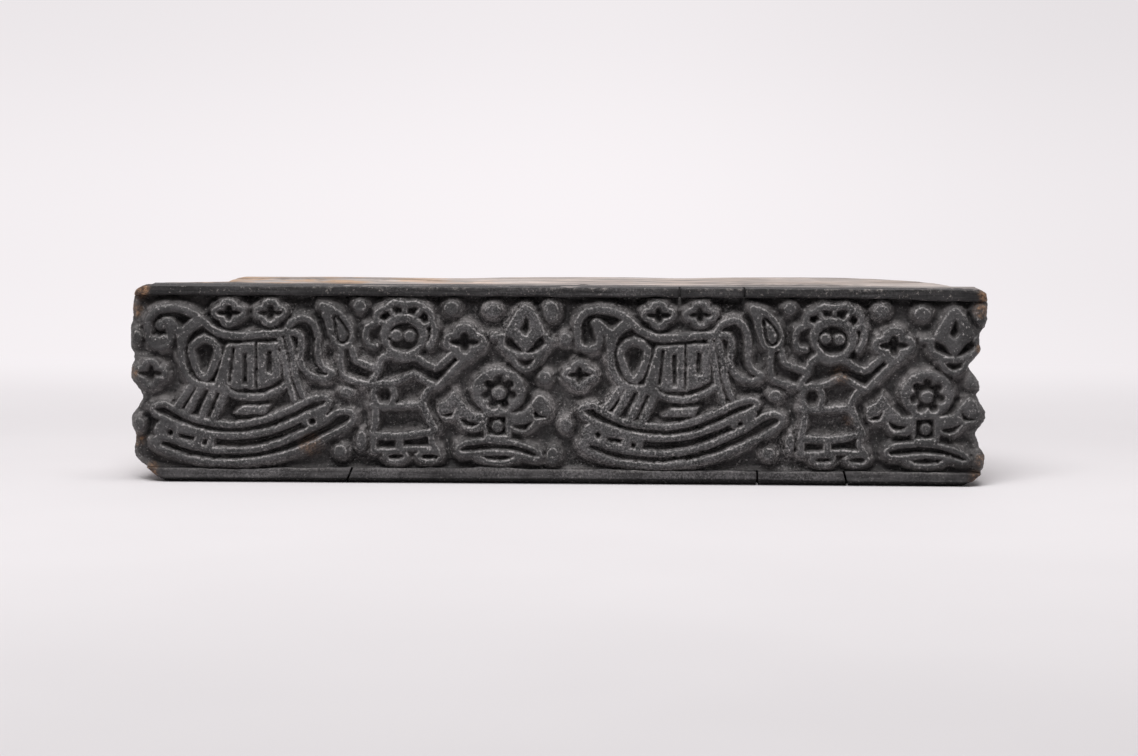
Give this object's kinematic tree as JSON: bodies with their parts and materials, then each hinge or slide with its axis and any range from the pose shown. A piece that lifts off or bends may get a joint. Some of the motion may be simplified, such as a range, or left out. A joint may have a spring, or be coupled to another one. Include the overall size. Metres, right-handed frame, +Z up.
{
  "type": "textile printing block",
  "caption": "Long wooden hand block for printing a border on cloth: a carved relief face board with border slips, pegged to a tapered grip block behind.",
  "frame": {"origin": "middle of the base, on the surface that the block stands on", "axes": "+X along the face, +Y back from the printing plane to the grip, +Z up; the carved face looks towards -Y"},
  "size_m": [0.24, 0.052, 0.0554],
  "materials": {
    "carved_face": "ink-stained, worn to a dull sheen",
    "border_slip": "ink-stained, worn to a dull sheen",
    "grip_wood": "bare, dry and handled",
    "peg_wood": "end grain, pared flush"
  },
  "bodies": {
    "root": {"face_board": "carved_face", "grip_block": "grip_wood", "top_slip_left": "border_slip", "top_slip_centre": "border_slip", "top_slip_right": "border_slip", "bottom_slip_left": "border_slip", "bottom_slip_centre": "border_slip", "bottom_slip_right": "border_slip", "bottom_slip_end": "border_slip", "peg_1": "peg_wood", "peg_2": "peg_wood", "peg_3": "peg_wood", "peg_4": "peg_wood"}
  },
  "joints": []
}
